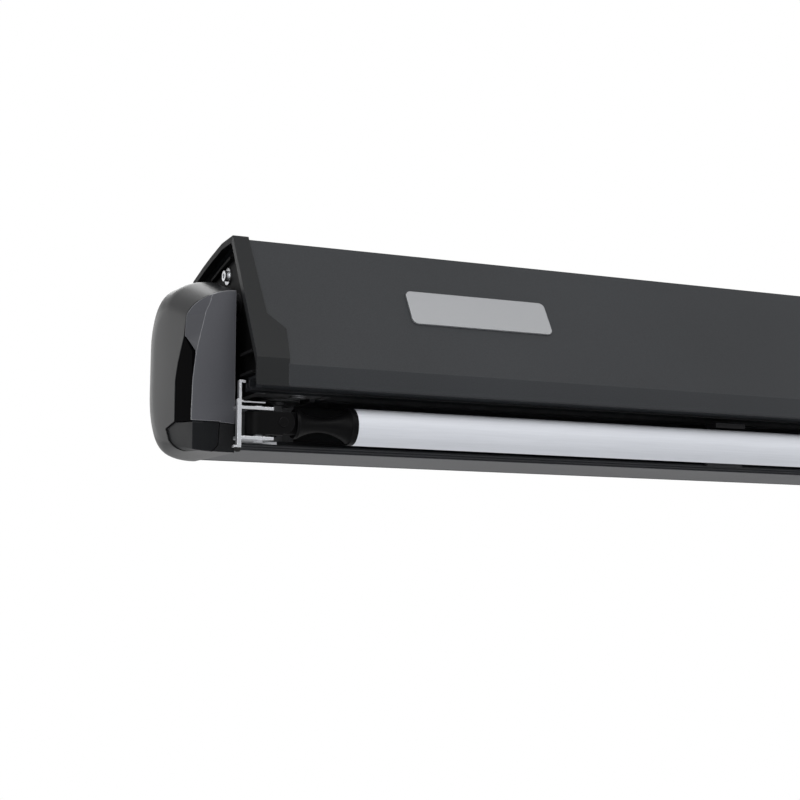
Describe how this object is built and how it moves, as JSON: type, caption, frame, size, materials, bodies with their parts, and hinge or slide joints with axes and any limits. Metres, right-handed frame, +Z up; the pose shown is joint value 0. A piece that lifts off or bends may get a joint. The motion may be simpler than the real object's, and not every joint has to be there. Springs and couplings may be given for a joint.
{
  "type": "roll out awning",
  "caption": "Closed roll out awning cassette with a sloped cover, rounded lead rail, folding arms, cloth roller, crank eye and folding legs.",
  "frame": {"origin": "on the flat mounting band on the back of the cassette, at mid length and 7.8 mm below the crease of the cover", "axes": "+X along the awning toward the crank end, +Y out of the vehicle wall toward the rounded lead rail, +Z up"},
  "size_m": [3.566, 0.1552, 0.1367],
  "materials": {
    "hood_paint": "anthracite fine texture powder coat",
    "trim_black": "near black, fine satin grain",
    "plate_black": "black, satin",
    "bush_polymer": "black bearing polymer",
    "zinc_screw": "bright zinc plated",
    "badge_silver": "plain satin silver",
    "seal_rubber": "black rubber",
    "gearbox_black": "black moulded housing",
    "crank_steel": "satin plated steel",
    "roller_steel": "galvanised steel",
    "plug_black": "black, satin",
    "canopy_cloth": "grey coated canopy cloth",
    "hem_aluminium": "satin aluminium",
    "arm_paint": "anthracite powder coat",
    "rail_paint": "anthracite fine texture powder coat",
    "cap_satin": "satin anthracite moulding",
    "blade_grey": "satin anthracite with a bright edge",
    "stripe_gloss": "gloss black",
    "inset_grey": "satin anthracite",
    "bare_aluminium": "bare milled aluminium",
    "leg_black": "black moulding",
    "leg_aluminium": "satin anodised aluminium",
    "clip_grey": "dark grey moulding",
    "bracket_aluminium": "grey painted die casting"
  },
  "bodies": {
    "cassette": {"cassette_hood": "hood_paint", "end_trim_left": "trim_black", "end_trim_right": "trim_black", "end_plate_left": "plate_black", "end_plate_right": "plate_black", "end_screw_left": "zinc_screw", "end_screw_right": "zinc_screw", "blank_badge": "badge_silver", "hood_lip_seal": "seal_rubber", "roller_bush_left": "bush_polymer", "roller_bush_right": "bush_polymer", "gearbox": "gearbox_black", "shoulder_bracket_left": "bracket_aluminium", "shoulder_bracket_right": "bracket_aluminium"},
    "roller": {"roller_tube": "roller_steel", "roller_plug_left": "plug_black", "roller_plug_right": "plug_black", "cloth_roll": "canopy_cloth"},
    "crank": {"crank_eye": "crank_steel"},
    "hem": {"hem_bar": "hem_aluminium"},
    "upper_arm_left": {"shoulder_knuckle_left": "bracket_aluminium", "upper_arm_left": "arm_paint", "elbow_fork_left": "bracket_aluminium"},
    "forearm_left": {"elbow_tongue_left": "bracket_aluminium", "forearm_left": "arm_paint", "wrist_knuckle_left": "bracket_aluminium"},
    "upper_arm_right": {"shoulder_knuckle_right": "bracket_aluminium", "upper_arm_right": "arm_paint", "elbow_fork_right": "bracket_aluminium"},
    "forearm_right": {"elbow_tongue_right": "bracket_aluminium", "forearm_right": "arm_paint", "wrist_knuckle_right": "bracket_aluminium"},
    "lead_rail": {"lead_rail": "rail_paint", "wrist_bracket_left": "bracket_aluminium", "wrist_bracket_right": "bracket_aluminium", "cap_shell_left": "cap_satin", "cap_shell_right": "cap_satin", "cap_stripe_left": "stripe_gloss", "cap_stripe_right": "stripe_gloss", "cap_inset_left": "inset_grey", "cap_inset_right": "inset_grey", "cap_blade_left": "blade_grey", "cap_blade_right": "blade_grey", "leg_bracket_left": "bare_aluminium", "leg_bracket_right": "bare_aluminium", "rubber_stop_left": "seal_rubber", "rubber_stop_right": "seal_rubber", "leg_clip_left": "clip_grey", "leg_clip_right": "clip_grey"},
    "leg_knuckle_left": {"leg_block_left": "leg_black"},
    "leg_left": {"leg_neck_left": "leg_black", "leg_tube_left": "leg_aluminium"},
    "leg_slide_left": {"leg_inner_left": "leg_aluminium"},
    "foot_left": {"leg_foot_left": "leg_black"},
    "leg_knuckle_right": {"leg_block_right": "leg_black"},
    "leg_right": {"leg_neck_right": "leg_black", "leg_tube_right": "leg_aluminium"},
    "leg_slide_right": {"leg_inner_right": "leg_aluminium"},
    "foot_right": {"leg_foot_right": "leg_black"}
  },
  "joints": [
    {"name": "shoulder_left", "type": "hinge", "parent": "cassette", "child": "upper_arm_left", "pos_m": [-1.71, 0.05, 0.009], "axis": [0, 0, 1], "range_deg": [0, 72]},
    {"name": "elbow_left", "type": "hinge", "parent": "upper_arm_left", "child": "forearm_left", "pos_m": [-0.38262, 0.068, 0.009], "axis": [0, 0, 1], "range_deg": [-144, 0]},
    {"name": "wrist_left", "type": "hinge", "parent": "forearm_left", "child": "lead_rail", "pos_m": [-1.71, 0.086, 0.009], "axis": [0, 0, 1], "range_deg": [0, 72]},
    {"name": "shoulder_right", "type": "hinge", "parent": "cassette", "child": "upper_arm_right", "pos_m": [1.71, 0.05, 0.009], "axis": [0, 0, -1], "range_deg": [0, 72]},
    {"name": "elbow_right", "type": "hinge", "parent": "upper_arm_right", "child": "forearm_right", "pos_m": [0.38262, 0.068, 0.009], "axis": [0, 0, -1], "range_deg": [-144, 0]},
    {"name": "roller_spin", "type": "hinge", "parent": "cassette", "child": "roller", "pos_m": [0, 0.06, 0.0505], "axis": [-1, 0, 0], "continuous": true},
    {"name": "crank_turn", "type": "hinge", "parent": "cassette", "child": "crank", "pos_m": [1.73, 0.027, 0.032], "axis": [1, 0, 0], "continuous": true},
    {"name": "cloth_travel", "type": "slide", "parent": "cassette", "child": "hem", "axis": [0, 1, 0], "range_m": [0, 2.49995]},
    {"name": "leg_turn_left", "type": "hinge", "parent": "lead_rail", "child": "leg_knuckle_left", "pos_m": [-1.7475, 0.018, -0.0254], "axis": [0, 0, 1], "range_deg": [-90, 0]},
    {"name": "leg_drop_left", "type": "hinge", "parent": "leg_knuckle_left", "child": "leg_left", "pos_m": [-1.7345, 0.018, -0.0254], "axis": [0, 1, 0], "range_deg": [0, 90]},
    {"name": "leg_reach_left", "type": "slide", "parent": "leg_left", "child": "leg_slide_left", "axis": [1, 0, 0], "range_m": [0, 0.48]},
    {"name": "foot_tilt_left", "type": "hinge", "parent": "leg_slide_left", "child": "foot_left", "pos_m": [-0.507, 0.018, -0.0254], "axis": [0, 1, 0], "range_deg": [-25, 25]},
    {"name": "leg_turn_right", "type": "hinge", "parent": "lead_rail", "child": "leg_knuckle_right", "pos_m": [1.7475, 0.018, -0.0254], "axis": [0, 0, -1], "range_deg": [-90, 0]},
    {"name": "leg_drop_right", "type": "hinge", "parent": "leg_knuckle_right", "child": "leg_right", "pos_m": [1.7345, 0.018, -0.0254], "axis": [0, -1, 0], "range_deg": [0, 90]},
    {"name": "leg_reach_right", "type": "slide", "parent": "leg_right", "child": "leg_slide_right", "axis": [-1, 0, 0], "range_m": [0, 0.48]},
    {"name": "foot_tilt_right", "type": "hinge", "parent": "leg_slide_right", "child": "foot_right", "pos_m": [0.507, 0.018, -0.0254], "axis": [0, -1, 0], "range_deg": [-25, 25]}
  ],
  "couplings": [
    {"joint": "elbow_left", "follows": "shoulder_left", "ratio": -2},
    {"joint": "wrist_left", "follows": "shoulder_left", "ratio": 1},
    {"joint": "shoulder_right", "follows": "shoulder_left", "ratio": 1},
    {"joint": "elbow_right", "follows": "shoulder_left", "ratio": -2},
    {"joint": "roller_spin", "follows": "shoulder_left", "ratio": 88},
    {"joint": "crank_turn", "follows": "shoulder_left", "ratio": 352},
    {"joint": "cloth_travel", "follows": "shoulder_left", "m_per_rad": 1.9894}
  ]
}
